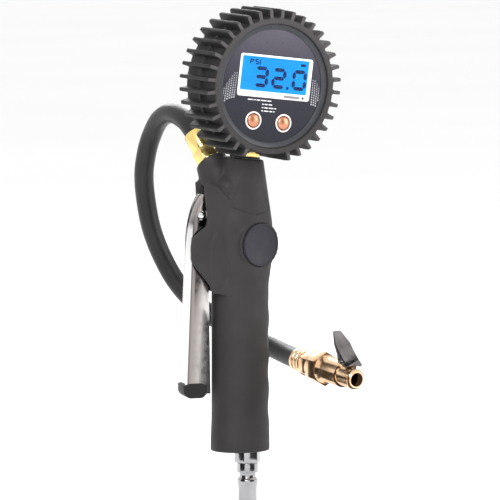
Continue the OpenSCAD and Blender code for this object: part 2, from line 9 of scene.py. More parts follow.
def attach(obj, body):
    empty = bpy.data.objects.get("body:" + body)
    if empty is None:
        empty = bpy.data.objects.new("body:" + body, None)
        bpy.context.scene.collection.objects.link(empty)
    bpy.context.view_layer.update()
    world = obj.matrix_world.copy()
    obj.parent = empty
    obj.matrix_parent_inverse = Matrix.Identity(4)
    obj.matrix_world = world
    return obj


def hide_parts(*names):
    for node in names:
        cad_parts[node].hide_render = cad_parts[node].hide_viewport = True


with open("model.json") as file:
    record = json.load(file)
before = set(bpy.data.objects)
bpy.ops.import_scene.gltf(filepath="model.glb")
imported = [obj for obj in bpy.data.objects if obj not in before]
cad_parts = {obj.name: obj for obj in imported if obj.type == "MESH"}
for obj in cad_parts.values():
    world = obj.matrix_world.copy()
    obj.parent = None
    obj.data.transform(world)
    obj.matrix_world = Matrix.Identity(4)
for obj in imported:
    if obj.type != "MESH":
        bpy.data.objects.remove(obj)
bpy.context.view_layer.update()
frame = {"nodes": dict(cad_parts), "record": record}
MM = 0.001

# ---------- places, the same as the CAD's own: given in millimetres, held in metres ----------


def turned(axis, degrees):
    return Matrix.Rotation(math.radians(degrees), 4, axis)


def moved(x, y, z):
    return Matrix.Translation((x * MM, y * MM, z * MM))


HEAD = moved(-1.7, 0, 205.5) @ turned("Y", 6.6) @ turned("Z", 14)
GAUGE = HEAD @ moved(0, 0, 44.5) @ turned("X", 90)
PORT = moved(-19.2, 12, 202.7) @ turned("Y", -22) @ turned("X", -35)
CHUCK = moved(34, 8.5, 82.6) @ turned("Z", -73.9) @ turned("Y", 94.8) @ turned("Z", 180)

# ---------- camera ----------

# The camera's angle in degrees, its lens in millimetres, and its distance and aim in metres.
LENS_AZIMUTH = -16
LENS_ELEVATION = 5.5
LENS_LENGTH = 278.2
LENS_AWAY = 2.3
AIM_HEIGHT = 0.150
AIM_RIGHT = 0.0015
AIM_UP = 0.0004


def view_axes():
    """Right, up and back of the camera."""
    a = math.radians(LENS_AZIMUTH)
    e = math.radians(LENS_ELEVATION)
    back = Vector((math.sin(a) * math.cos(e), -math.cos(a) * math.cos(e), math.sin(e)))
    right = Vector((math.cos(a), math.sin(a), 0))
    return right, back.cross(right), back


def make_camera():
    right, up, back = view_axes()
    data = bpy.data.cameras.new("camera")
    data.sensor_width = 36
    data.lens = LENS_LENGTH
    data.clip_end = 60
    cam = bpy.data.objects.new("camera", data)
    bpy.context.scene.collection.objects.link(cam)
    aim = Vector((0, 0, AIM_HEIGHT)) + right * AIM_RIGHT + up * AIM_UP
    turn = Matrix((right, up, back)).transposed().to_4x4()
    cam.matrix_world = Matrix.Translation(aim + back * LENS_AWAY) @ turn
    bpy.context.scene.camera = cam


make_camera()

# ---------- mesh helpers ----------

# Points closer than this are one point, in metres; faces flatter than this are one face, in degrees.
WELD = 2e-6
FLAT = 1.2


def link(name, mesh):
    obj = bpy.data.objects.new(name, mesh)
    bpy.context.scene.collection.objects.link(obj)
    return obj


def mesh_of(name, points, faces):
    mesh = bpy.data.meshes.new(name)
    mesh.from_pydata([tuple(p) for p in points], [], faces)
    mesh.validate()
    return link(name, mesh)


def settle(obj):
    """Applies the object's modifiers to its mesh."""
    seen = bpy.context.evaluated_depsgraph_get()
    mesh = bpy.data.meshes.new_from_object(obj.evaluated_get(seen))
    obj.modifiers.clear()
    obj.data = mesh
    return obj


def soften(obj, degrees=35):
    """Smooth shading, with edges sharper than this left sharp."""
    obj.data.shade_smooth()
    if degrees < 180:
        obj.data.set_sharp_from_angle(angle=math.radians(degrees))
    return obj


def copied(node, name):
    """A clean closed copy of a CAD node's mesh."""
    source = frame["nodes"][node].data
    work = bmesh.new()
    work.from_mesh(source)
    bmesh.ops.remove_doubles(work, verts=work.verts, dist=WELD)
    points = [v.co.copy() for v in work.verts]
    work.verts.index_update()
    faces = [[v.index for v in f.verts] for f in work.faces]
    work.free()
    return mesh_of(name, points, faces)


def edged(node, name, width, limit=28, segments=2):
    """A copy of a CAD node with its hard edges rounded."""
    obj = copied(node, name)
    work = bmesh.new()
    work.from_mesh(obj.data)
    bmesh.ops.dissolve_limit(work, angle_limit=math.radians(FLAT), verts=work.verts,
                             edges=work.edges)
    work.to_mesh(obj.data)
    work.free()
    rounding = obj.modifiers.new("edges", "BEVEL")
    rounding.width = width * MM
    rounding.segments = segments
    rounding.limit_method = "ANGLE"
    rounding.angle_limit = math.radians(limit)
    rounding.use_clamp_overlap = True
    settle(obj)
    return soften(obj, 40)


def moulded(obj, voxel, passes):
    """Turns a mesh into one smooth moulded skin."""
    skin = obj.modifiers.new("skin", "REMESH")
    skin.mode = "VOXEL"
    skin.voxel_size = voxel * MM
    calm = obj.modifiers.new("calm", "SMOOTH")
    calm.factor = 0.5
    calm.iterations = passes
    settle(obj)
    return soften(obj, 180)


def points_of(obj):
    co = np.zeros(len(obj.data.vertices) * 3)
    obj.data.vertices.foreach_get("co", co)
    return co.reshape(-1, 3)


def normals_of(obj):
    no = np.zeros(len(obj.data.vertices) * 3)
    obj.data.vertices.foreach_get("normal", no)
    return no.reshape(-1, 3)


def set_points(obj, co):
    obj.data.vertices.foreach_set("co", co.ravel())
    obj.data.update()


def joined(obj, *others):
    """Adds the other objects' meshes to the first one."""
    work = bmesh.new()
    for o in (obj, *others):
        o.data.transform(o.matrix_world)
        o.matrix_world = Matrix.Identity(4)
        work.from_mesh(o.data)
    work.to_mesh(obj.data)
    work.free()
    for o in others:
        bpy.data.objects.remove(o)
    return obj


def spun(name, profile, place, steps=96):
    """Turns a closed outline of (radius, height) points in millimetres about its axis."""
    points, faces = [], []
    n = len(profile)
    for i in range(steps):
        a = 2 * math.pi * i / steps
        for r, z in profile:
            points.append(place @ Vector((r * math.cos(a) * MM, r * math.sin(a) * MM, z * MM)))
    for i in range(steps):
        k = (i + 1) % steps
        for j in range(n):
            m = (j + 1) % n
            faces.append((i * n + j, k * n + j, k * n + m, i * n + m))
    return mesh_of(name, points, faces)


def prisms(name, outlines, low, high, place):
    """Flat raised shapes: closed outlines in millimetres, from one height to another."""
    points, faces = [], []
    for line in outlines:
        n = len(line)
        base = len(points)
        for z in (low, high):
            points += [place @ Vector((x * MM, y * MM, z * MM)) for x, y in line]
        faces.append(tuple(base + n + i for i in range(n)))
        faces.append(tuple(base + i for i in reversed(range(n))))
        for i in range(n):
            k = (i + 1) % n
            faces.append((base + i, base + k, base + n + k, base + n + i))
    return mesh_of(name, points, faces)


# ---------- materials ----------

# The colour sockets of a Mix node, which share their names with its other kinds of socket.
MIX_A = 6
MIX_B = 7
MIX_OUT = 2


class Paint:
    """A principled material with a few helpers for procedural detail."""

    def __init__(self, name, rough=0.5, metal=0.0, coat=0.0, coat_rough=0.1, sheen=0.0, specular=0.5):
        self.mat = bpy.data.materials.new(name)
        self.mat.use_nodes = True
        self.tree = self.mat.node_tree
        self.shader = self.tree.nodes["Principled BSDF"]
        self.set("Roughness", rough)
        self.set("Metallic", metal)
        self.set("Coat Weight", coat)
        self.set("Coat Roughness", coat_rough)
        self.set("Sheen Weight", sheen)
        self.set("Specular IOR Level", specular)
        self.place = self.tree.nodes.new("ShaderNodeTexCoord").outputs["Object"]

    def set(self, socket, value):
        self.shader.inputs[socket].default_value = value

    def join(self, a, b):
        self.tree.links.new(a, b)

    def noise(self, scale, detail=3, stretch=None, rough=0.5):
        node = self.tree.nodes.new("ShaderNodeTexNoise")
        node.inputs["Scale"].default_value = scale
        node.inputs["Detail"].default_value = detail
        node.inputs["Roughness"].default_value = rough
        self.join(self.stretched(stretch), node.inputs["Vector"])
        return node.outputs["Fac"]

    def stretched(self, stretch):
        if stretch is None:
            return self.place
        node = self.tree.nodes.new("ShaderNodeMapping")
        node.inputs["Scale"].default_value = stretch
        self.join(self.place, node.inputs["Vector"])
        return node.outputs["Vector"]

    def ramp(self, source, stops):
        """Colour ramp from (position, colour) stops."""
        node = self.tree.nodes.new("ShaderNodeValToRGB")
        band = node.color_ramp
        while len(band.elements) < len(stops):
            band.elements.new(0.5)
        for element, (where, colour) in zip(band.elements, stops):
            element.position = where
            element.color = (*colour, 1)
        self.join(source, node.inputs["Fac"])
        return node.outputs["Color"]

    def span(self, source, low, high, a, b):
        """Maps a value from one range to another."""
        node = self.tree.nodes.new("ShaderNodeMapRange")
        for key, value in (("From Min", low), ("From Max", high), ("To Min", a), ("To Max", b)):
            node.inputs[key].default_value = value
        self.join(source, node.inputs["Value"])
        return node.outputs["Result"]

    def along(self, direction, start, end):
        """0 to 1 between two distances along a direction, in the part's frame."""
        node = self.tree.nodes.new("ShaderNodeVectorMath")
        node.operation = "DOT_PRODUCT"
        self.join(self.place, node.inputs[0])
        node.inputs[1].default_value = direction
        return self.span(node.outputs["Value"], start, end, 0, 1)

    def feed(self, socket, value):
        """Joins a node's output to the socket, or sets a colour or a number on it."""
        if isinstance(value, bpy.types.NodeSocket):
            self.join(value, socket)
        elif isinstance(value, tuple):
            socket.default_value = (*value, 1)
        else:
            socket.default_value = value

    def mix(self, factor, a, b, blend="MIX"):
        node = self.tree.nodes.new("ShaderNodeMix")
        node.data_type = "RGBA"
        node.blend_type = blend
        self.feed(node.inputs["Factor"], factor)
        self.feed(node.inputs[MIX_A], a)
        self.feed(node.inputs[MIX_B], b)
        return node.outputs[MIX_OUT]

    def colour(self, source):
        self.join(source, self.shader.inputs["Base Color"])
        return self

    def roughness(self, source, low, high):
        """Roughness from low to high as a noise goes through its middle range."""
        self.join(self.span(source, 0.3, 0.7, low, high), self.shader.inputs["Roughness"])
        return self

    def bump(self, source, depth, strength=0.3):
        node = self.tree.nodes.new("ShaderNodeBump")
        node.inputs["Strength"].default_value = strength
        node.inputs["Distance"].default_value = depth
        self.join(source, node.inputs["Height"])
        self.join(node.outputs["Normal"], self.shader.inputs["Normal"])
        return self

    def glow(self, source, strength):
        self.join(source, self.shader.inputs["Emission Color"])
        self.set("Emission Strength", strength)
        return self

    def pale_and_lit(self):
        """Paler patches stored on the mesh, 0 to 1, in part painted light."""
        node = self.tree.nodes.new("ShaderNodeAttribute")
        node.attribute_name = "paling_and_light"
        return node.outputs["Fac"]


# The fourth colour is paler rubber, mixed in by the mask stored on the mesh; in part it is painted light.
def rubber(name, dark, light, pale_and_lit=None, rough=(0.5, 0.64), grain=1400):
    paint = Paint(name, rough=rough[0], sheen=0.03, specular=0.24)
    cloud = paint.ramp(paint.noise(45, 4), [(0.3, dark), (0.72, light)])
    if pale_and_lit:
        cloud = paint.mix(paint.pale_and_lit(), cloud, pale_and_lit)
    paint.colour(cloud)
    paint.roughness(paint.noise(160, 3), *rough)
    return paint.bump(paint.noise(grain, 2), 0.00008, 0.3).mat


def metal(name, dark, light, rough, stretch=(1, 1, 1), scale=300, depth=0.00002, coat=0.0):
    paint = Paint(name, metal=1.0, coat=coat)
    paint.colour(paint.ramp(paint.noise(70, 4), [(0.25, dark), (0.75, light)]))
    paint.roughness(paint.noise(scale, 4, stretch), *rough)
    return paint.bump(paint.noise(scale * 2, 3, stretch), depth, 0.15).mat


def plastic(name, dark, light, rough, coat=0.0, grain=900, depth=0.00003, specular=0.5):
    paint = Paint(name, coat=coat, specular=specular)
    paint.colour(paint.ramp(paint.noise(60, 3), [(0.3, dark), (0.7, light)]))
    paint.roughness(paint.noise(220, 3), *rough)
    return paint.bump(paint.noise(grain, 2), depth, 0.25).mat


GAUGE_UP = tuple(GAUGE.to_3x3() @ Vector((0, 1, 0)))
GAUGE_SIDE = tuple(GAUGE.to_3x3() @ Vector((1, 0, 0)))
GAUGE_MID = GAUGE.translation


def across_gauge(direction, low, high):
    """Start and end distances for Paint.along, counted from the gauge's centre in millimetres."""
    mid = GAUGE_MID.dot(Vector(direction))
    return mid + low * MM, mid + high * MM


def dial_film():
    paint = Paint("dial_film", rough=0.3, coat=0.08, coat_rough=0.12, specular=0.25)
    height = paint.along(GAUGE_UP, *across_gauge(GAUGE_UP, -34, 34))
    # Painted shade and light: the dial is coloured darker at the bottom and lighter towards the top.
    fade = paint.ramp(height, [(0.0, (0.01, 0.011, 0.02)), (0.42, (0.018, 0.018, 0.03)),
                               (0.7, (0.046, 0.042, 0.06)), (1.0, (0.1, 0.092, 0.12))])
    speckle = paint.ramp(paint.noise(900, 2), [(0.35, (0.9, 0.9, 0.9)), (0.65, (1, 1, 1))])
    paint.colour(paint.mix(1, fade, speckle, "MULTIPLY"))
    paint.roughness(paint.noise(300, 3), 0.26, 0.36)
    return paint.bump(paint.noise(1500, 2), 0.00001, 0.2).mat


def lit_screen():
    paint = Paint("lit_screen", rough=0.3, specular=0.12)
    side = paint.along(GAUGE_SIDE, *across_gauge(GAUGE_SIDE, -22, 22))
    blue = paint.ramp(side, [(0.0, (0.0, 0.36, 0.97)), (0.35, (0.0, 0.27, 0.93)),
                             (0.75, (0.0, 0.29, 0.95)), (1.0, (0.0, 0.38, 0.98))])
    height = paint.along(GAUGE_UP, *across_gauge(GAUGE_UP, -6, 16))
    fade = paint.ramp(height, [(0.0, (0.0, 0.42, 0.98)), (0.3, (0.0, 0.27, 0.93)),
                               (1.0, (0.0, 0.31, 0.95))])
    half = paint.noise(2500, 1)
    both = paint.mix(half, blue, fade)
    paint.colour(paint.ramp(half, [(0.3, (0.0, 0.05, 0.2)), (0.7, (0.0, 0.07, 0.26))]))
    return paint.glow(both, 0.95).mat


def lit_rim():
    paint = Paint("lit_rim", rough=0.35)
    height = paint.along(GAUGE_UP, *across_gauge(GAUGE_UP, -8, -3))
    grain = paint.noise(800, 2)
    fade = paint.ramp(height, [(0.0, (0.72, 0.62, 0.66)), (0.8, (0.8, 0.78, 0.82)),
                               (1.0, (0.86, 0.96, 1.0))])
    paint.colour(fade)
    paint.roughness(grain, 0.3, 0.42)
    return paint.glow(fade, 0.35).mat


def cover_film():
    paint = Paint("cover_film", rough=0.06, specular=0.15)
    paint.colour(paint.ramp(paint.noise(300, 2), [(0.3, (0.2, 0.5, 0.8)), (0.7, (0.3, 0.6, 0.9))]))
    paint.set("Alpha", 0.02)
    paint.roughness(paint.noise(500, 2), 0.05, 0.1)
    return paint.mat


# One look for each material slot of the record.
LOOKS = {
    "rubber_grip": rubber("grip_rubber", (0.024, 0.0215, 0.022), (0.033, 0.0295, 0.03),
                          (0.06, 0.056, 0.056)),
    "rubber_boot": rubber("boot_rubber", (0.012, 0.011, 0.0115), (0.018, 0.0165, 0.017),
                          (0.088, 0.08, 0.084)),
    "hose_rubber": rubber("hose_rubber", (0.015, 0.014, 0.0155), (0.022, 0.0205, 0.022), None,
                          (0.3, 0.42), 900),
    "seal_rubber": rubber("seal_rubber", (0.02, 0.02, 0.02), (0.03, 0.03, 0.03), None, (0.4, 0.5)),
    "chrome_steel": metal("chrome_plate", (0.6, 0.6, 0.61), (0.72, 0.72, 0.73), (0.08, 0.15)),
    "black_vinyl": plastic("black_vinyl", (0.012, 0.0115, 0.012), (0.02, 0.019, 0.02), (0.42, 0.55),
                           grain=700, specular=0.22),
    "cast_alloy": metal("cast_alloy", (0.42, 0.42, 0.43), (0.56, 0.56, 0.57), (0.42, 0.6), depth=0.00006),
    "brass": metal("brass", (0.88, 0.54, 0.3), (0.98, 0.74, 0.5), (0.15, 0.26)),
    "pale_brass": metal("pale_brass", (0.86, 0.62, 0.18), (0.96, 0.78, 0.34), (0.18, 0.3)),
    "spring_steel": metal("spring_steel", (0.15, 0.14, 0.14), (0.38, 0.36, 0.355), (0.2, 0.34)),
    "plain_steel": metal("plain_steel", (0.5, 0.5, 0.5), (0.66, 0.66, 0.66), (0.3, 0.42)),
    "case_plastic": plastic("case_plastic", (0.022, 0.024, 0.03), (0.034, 0.036, 0.045), (0.34, 0.46)),
    "dial_print": dial_film(),
    "lit_white": lit_rim(),
    "lcd_glass": cover_film(),
    "lcd_blue": lit_screen(),
    "board": plastic("board_mask", (0.01, 0.1, 0.04), (0.02, 0.16, 0.06), (0.25, 0.4), 0.3),
    "copper_button": metal("copper_plate", (0.5, 0.2, 0.11), (0.72, 0.35, 0.22), (0.22, 0.34)),
    "button_trim": plastic("button_trim", (0.82, 0.68, 0.66), (0.92, 0.82, 0.8), (0.2, 0.3), 0.4),
    "switch_black": plastic("switch_black", (0.02, 0.02, 0.02), (0.04, 0.04, 0.04), (0.4, 0.5)),
    "battery_wrap": plastic("battery_wrap", (0.5, 0.22, 0.04), (0.7, 0.34, 0.08), (0.2, 0.35), 0.3),
}


# The direction across the lever's side, and where its outer and inner edges lie along it, in metres.
LEVER_ACROSS = (1, 0, -0.0384)
LEVER_SPAN = (-0.0429, -0.029)


def lever_chrome_painted_reflection():
    """Chrome with a painted reflection in its colour: a painted highlight on the lever's outer face, then
    a dark band grading to light across its side.
    """
    paint = Paint("lever_chrome_painted_reflection", metal=1.0)
    side = paint.along(LEVER_ACROSS, *LEVER_SPAN)
    # Painted reflection: the base colour grades across the flange, standing in for dark and bright
    # surroundings mirrored in it.
    painted_reflection = paint.ramp(side, [(0.0, (0.9, 0.89, 0.89)), (0.05, (0.85, 0.84, 0.84)),
                              (0.09, (0.1, 0.09, 0.09)), (0.15, (0.26, 0.23, 0.22)),
                              (0.4, (0.36, 0.325, 0.31)), (0.7, (0.6, 0.57, 0.56)),
                              (1.0, (0.74, 0.72, 0.72))])
    paint.colour(painted_reflection)
    paint.roughness(paint.noise(260, 4), 0.1, 0.2)
    return paint.bump(paint.noise(500, 3), 0.00001, 0.12).mat


LEVER_CHROME = lever_chrome_painted_reflection()
# The plug's chrome is a darker copy of the chrome plate: painted shade for the darker reflections on the
# plug.
PLUG_CHROME = metal("plug_chrome_painted_shade", (0.36, 0.36, 0.375), (0.5, 0.5, 0.515), (0.1, 0.18))
INK = plastic("print_white", (0.74, 0.74, 0.78), (0.86, 0.86, 0.9), (0.3, 0.42))
DIGIT = plastic("digit_navy", (0.001, 0.006, 0.05), (0.002, 0.01, 0.08), (0.3, 0.4), specular=0.1)
CAP_RUBBER = rubber("cap_rubber", (0.02, 0.019, 0.026), (0.028, 0.026, 0.035), None, (0.42, 0.55))
DARK_INK = plastic("print_dark", (0.02, 0.02, 0.02), (0.04, 0.04, 0.045), (0.3, 0.42))
GREY_INK = plastic("print_grey", (0.2, 0.18, 0.19), (0.3, 0.27, 0.28), (0.3, 0.42))
NODE_BODY = {n: b for b, nodes in frame["record"]["behaviour"]["bodies"].items() for n in nodes}
NODE_SLOT = {s["node"]: s["material_slot"] for s in frame["record"]["subparts"]}


def dress(obj, material):
    obj.data.materials.clear()
    obj.data.materials.append(material)
    return obj


def stand_for(obj, node, material=None):
    """The piece takes the CAD node's place and body, and its slot's material unless one is given; the node
    is hidden.
    """
    slot = NODE_SLOT[node]
    dress(obj, material or LOOKS[slot])
    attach(obj, NODE_BODY[node])
    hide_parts(node)
    return obj


def trim(obj, body, material):
    """A printed mark, which stands for no CAD node."""
    dress(obj, material)
    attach(obj, body)
    return obj


def dress_cad_nodes():
    for name, obj in frame["nodes"].items():
        dress(obj, LOOKS[NODE_SLOT[name]])


dress_cad_nodes()

# ---------- hose ----------

# The hose's centreline in millimetres, given as in the CAD.
HOSE_ROUTE = [
    (-29, 34, 226), (-33, 50, 229.5), (-36.5, 64, 225.5), (-38.5, 75, 216.5), (-40.5, 81.5, 205),
    (-41.5, 85.5, 190), (-39.5, 88, 173), (-35.5, 89, 155), (-29, 87.5, 138), (-21, 84, 123),
    (-12, 79, 112), (-1, 71, 102.5), (10, 61, 95), (19.5, 48, 90), (26.5, 34, 86.5),
    (31, 20, 84),
]
# Its diameter, how far the fitting holds it off the port, and the straight run at each end, in metres.
HOSE_D = 0.012
FITTING_OUT = 0.021
RUN_IN = 0.012
HOSE_STEPS = 5


def smooth_point(p0, p1, p2, p3, t):
    """A point on the smooth curve from p1 to p2, with t from 0 to 1."""
    a = 2 * p0 - 5 * p1 + 4 * p2 - p3
    b = 3 * p1 - p0 - 3 * p2 + p3
    return 0.5 * (2 * p1 + (p2 - p0) * t + a * t * t + b * t * t * t)


def hose_line():
    out = PORT.to_3x3() @ Vector((0, 0, 1))
    end = CHUCK.to_3x3() @ Vector((0, 0, 1))
    start = PORT.translation + FITTING_OUT * out
    knots = [start - RUN_IN * out, start]
    knots += [Vector(p) * MM for p in HOSE_ROUTE]
    knots += [CHUCK.translation, CHUCK.translation + RUN_IN * end]
    line = []
    for i in range(1, len(knots) - 2):
        line += [smooth_point(*knots[i - 1:i + 3], k / HOSE_STEPS) for k in range(HOSE_STEPS)]
    return [*line, CHUCK.translation.copy()]


def make_hose():
    line = hose_line()
    data = bpy.data.curves.new("hose_tube", "CURVE")
    data.dimensions = "3D"
    data.bevel_depth = HOSE_D / 2
    data.bevel_resolution = 10
    data.use_fill_caps = True
    spline = data.splines.new("POLY")
    spline.points.add(len(line) - 1)
    for point, place in zip(spline.points, line):
        point.co = (*place, 1)
    spline.use_smooth = True
    tube = link("hose_tube", data)
    dress(tube, LOOKS["hose_rubber"])
    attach(tube, "handle")
    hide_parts("hose")
    return tube, line


hose_tube, hose_path = make_hose()

# ---------- pieces with rounded edges ----------

# CAD node, piece, and the size of its rounding in millimetres.
EDGED = [
    ("inlet_plug", "plug", 0.25), ("valve_body", "cast_body", 0.3), ("side_cap", "side_disc", 0.35),
    ("trigger_lever", "lever", 0.5), ("lever_tip", "lever_toe", 1.2), ("lever_pin", "pivot_pin", 0.2),
    ("plunger_gland", "gland", 0.2), ("valve_plunger", "plunger", 0.1),
    ("hose_fitting", "fitting", 0.35), ("hose_ferrule", "ferrule", 0.25),
    ("chuck_ferrule", "ferrule_chuck", 0.25), ("hose_nut", "nut", 0.4), ("chuck_body", "chuck", 0.3),
    ("chuck_clip", "clip", 0.25), ("clip_pin", "clip_pivot", 0.15),
    ("gauge_stem", "stem", 0.35), ("gauge_case", "case", 0.3), ("bezel_ring", "bezel", 0.3),
    ("lcd_frame", "screen_rim", 0.35), ("power_button", "key_power", 0.2),
    ("light_button", "key_light", 0.2), ("button_rims", "key_rims", 0.2),
    ("battery_cover", "battery_door", 0.3), ("cover_screws", "door_screws", 0.12),
]
# Pieces whose own look differs from their slot's.
SPECIAL = {"side_cap": CAP_RUBBER, "trigger_lever": LEVER_CHROME, "inlet_plug": PLUG_CHROME}
for cad_name, piece_name, edge in EDGED:
    stand_for(edged(cad_name, piece_name, edge), cad_name, SPECIAL.get(cad_name))

# ---------- rubber grip ----------


# Stores a 0 to 1 mask of paler rubber on the mesh, in part painted light.
def mark_paling_and_light(obj, paling_and_light):
    attribute = obj.data.attributes.new("paling_and_light", "FLOAT", "POINT")
    attribute.data.foreach_set("value", paling_and_light.astype(np.float32))


def step(value, low, high):
    """0 below low, 1 above high, and smooth between them."""
    t = np.clip((value - low) / (high - low), 0, 1)
    return t * t * (3 - 2 * t)


def inside(u, z, corners, soft):
    """1 well inside a convex outline, listed anticlockwise, and 0 outside, over a soft edge."""
    depth = np.full(len(u), 1e9)
    for (u0, z0), (u1, z1) in zip(corners, corners[1:] + corners[:1]):
        run = math.hypot(u1 - u0, z1 - z0)
        depth = np.minimum(depth, ((z - z0) * (u1 - u0) - (u - u0) * (z1 - z0)) / run)
    return step(depth, 0, soft)


# Seen from the camera, in millimetres across and up: the hollow on the neck, the raised oval on the
# near cheek, and the shallow waves on the side away from the lever.
SHIELD = [(-9.4, 176.6), (5.1, 171.8), (14.4, 173.6), (8.4, 193.5), (2, 198), (-4, 194.5), (-10.4, 180.6)]
SHIELD_DEEP = 1.1
SHIELD_EDGE = 1.3
SHIELD_TOP = 200
OVAL_MID = (-17.6, 145.5)
OVAL_HALF = (5.0, 17.5)
OVAL_HIGH = 0.75
WAVE_START = 40
WAVE_PITCH = 21.5
WAVE_HIGH = 0.3


def shield_shift(u, z):
    return -SHIELD_DEEP * inside(u, z, SHIELD, SHIELD_EDGE) * step(SHIELD_TOP - z, 2, 26)


def oval_shift(u, z):
    across = (u - OVAL_MID[0] - (z - 145) * 0.02) / OVAL_HALF[0]
    oval = np.hypot(across, (z - OVAL_MID[1]) / OVAL_HALF[1])
    return OVAL_HIGH * (1 - step(oval, 0.86, 1.04))


def wave_shift(x, z):
    band = step(z, 38, 48) * (1 - step(z, 112, 124)) * step(x, -14, 4)
    return WAVE_HIGH * np.sin((z - WAVE_START) * 2 * math.pi / WAVE_PITCH) * band


def shape_grip(obj):
    """Moves the skin along its normals for the moulded details, and marks a paler band at the top of the
    neck.
    """
    right, _, back = view_axes()
    co = points_of(obj)
    no = normals_of(obj)
    mm = co / MM
    u = mm @ np.array(right)
    facing = step(no @ np.array(back), 0.05, 0.4)
    z = mm[:, 2]
    shift = (shield_shift(u, z) + oval_shift(u, z)) * facing + wave_shift(mm[:, 0], z)
    set_points(obj, co + no * (shift * MM)[:, None])
    mark_paling_and_light(obj, step(z, 202, 206) * 0.3)


def bead(name, r, thick, z, place):
    """A ring with a round section."""
    turn = np.linspace(0, 2 * math.pi, 13)[:-1]
    ring = [(r + thick * math.cos(a), z + thick * math.sin(a)) for a in turn]
    return spun(name, ring, place, 64)


def ball(name, r, place):
    """A closed ball, for a swelling that the moulded skin grows over."""
    turn = np.linspace(-math.pi / 2, math.pi / 2, 13)
    arc = [(max(r * math.cos(a), 0.01), r * math.sin(a)) for a in turn]
    return spun(name, arc, place, 32)


def make_grip():
    """The CAD's grip with a lip at the hose port, and rubber that joins the port's boss to the neck."""
    grip = copied("grip_sleeve", "grip")
    joined(grip, bead("lip", 9.0, 0.95, -0.9, PORT), ball("web", 7.8, moved(-12.6, -3.2, 188)))
    moulded(grip, 0.7, 9)
    shape_grip(grip)
    return stand_for(grip, "grip_sleeve")


# ---------- gauge head ----------


# The boot's front face and the foot of its fins, in millimetres from the gauge's centre.
BOOT_FRONT = (25.2, 25.9)
FIN_FOOT = (40.0, 41.2)


def make_boot():
    """The boot as one moulded skin, painted paler on its front, lighter towards its top as painted light,
    and palest on its fin ends.
    """
    boot = copied("gauge_boot", "boot")
    moulded(boot, 0.55, 2)
    co = points_of(boot)
    local = (co - np.array(GAUGE.translation)) @ np.array(GAUGE.to_3x3()) / MM
    radius = np.hypot(local[:, 0], local[:, 1])
    front = step(local[:, 2], *BOOT_FRONT)
    fins = step(radius, *FIN_FOOT)
    # Painted light: the boot's front is paler towards the top, where the light falls from above.
    light = step(local[:, 1], -40, 45)
    # Paler front and fin ends, with the painted light added towards the top.
    pale_front_and_painted_light = np.clip(front * (0.28 + 0.3 * light + 0.42 * fins), 0, 1)
    mark_paling_and_light(boot, pale_front_and_painted_light)
    return stand_for(boot, "gauge_boot")


def box(x, y, w, h):
    return [(x - w / 2, y - h / 2), (x + w / 2, y - h / 2), (x + w / 2, y + h / 2), (x - w / 2, y + h / 2)]


def disc(x, y, r, sides=14):
    return [(x + r * math.cos(2 * math.pi * i / sides), y + r * math.sin(2 * math.pi * i / sides))
            for i in range(sides)]


# Each bar of a digit: its place in half widths and half heights, and whether it lies flat.
SEGMENTS = {
    "a": (0, 1, 1), "g": (0, 0, 1), "d": (0, -1, 1),
    "f": (-1, 0.5, 0), "b": (1, 0.5, 0), "e": (-1, -0.5, 0), "c": (1, -0.5, 0),
}
DIGITS = {"3": "abgcd", "2": "abged", "0": "abcdef"}
BAR_GAP = 0.25


def segment(x, y, flat, half_w, half_h, t):
    """One pointed bar of a seven-segment digit."""
    if flat:
        a = half_w - BAR_GAP
        return [(x - a, y), (x - a + t, y - t), (x + a - t, y - t),
                (x + a, y), (x + a - t, y + t), (x - a + t, y + t)]
    a = half_h / 2 - BAR_GAP
    return [(x, y - a), (x + t, y - a + t), (x + t, y + a - t),
            (x, y + a), (x - t, y + a - t), (x - t, y - a + t)]


def digit(figure, x, y, half_w, half_h, t=1.1):
    bars = []
    for key in DIGITS[figure]:
        sx, sy, flat = SEGMENTS[key]
        bars.append(segment(x + sx * half_w, y + sy * half_h, flat, half_w, half_h, t))
    return bars


def unit_marks(x, y, h):
    """The letters P, S and I as small bars."""
    w = h * 0.62
    t = h * 0.22
    bars = [box(x, y, t, h), box(x + w / 2, y + h / 2 - t / 2, w, t), box(x + w / 2, y, w, t),
            box(x + w, y + h / 4, t, h / 2)]
    s = x + w + 0.32 * h + t
    bars += [box(s + w / 2, y + h / 2 - t / 2, w, t), box(s + w / 2, y, w, t),
             box(s + w / 2, y - h / 2 + t / 2, w, t), box(s, y + h / 4, t, h / 2),
             box(s + w, y - h / 4, t, h / 2)]
    return bars + [box(s + w + 0.42 * h, y, t, h)]


# The display's reading in millimetres from the dial's middle: each figure's place across it, the
# row's place up it, and a figure's half sizes.
READING = (("3", -6.9), ("2", 5.2), ("0", 19.2))
READING_Y = 4.7
FIGURE_HALF_W = 3.8
FIGURE_HALF_H = 5.0
# Where each print starts and ends in depth, in millimetres along the gauge's axis.
SCREEN_INK = (20.5, 20.62)
DIAL_INK = (22.5, 22.56)
LABEL_INK = (22.7, 22.75)
SPOT_INK = (22.7, 22.76)


def make_screen_marks():
    bars = []
    for figure, x in READING:
        bars += digit(figure, x, READING_Y, FIGURE_HALF_W, FIGURE_HALF_H)
    decimal_point = box(11.6, -0.6, 1.6, 1.6)
    bars += [decimal_point]
    bars += unit_marks(-15.2, 13.3, 3.0)
    marks = prisms("screen_digits", bars, *SCREEN_INK, GAUGE)
    trim(marks, "handle", DIGIT)
    cell = [box(20.9, 13.7, 3.2, 1.5), box(22.8, 13.7, 0.5, 0.7)]
    sign = prisms("battery_sign", cell, *SCREEN_INK, GAUGE)
    trim(sign, "handle", DIGIT)


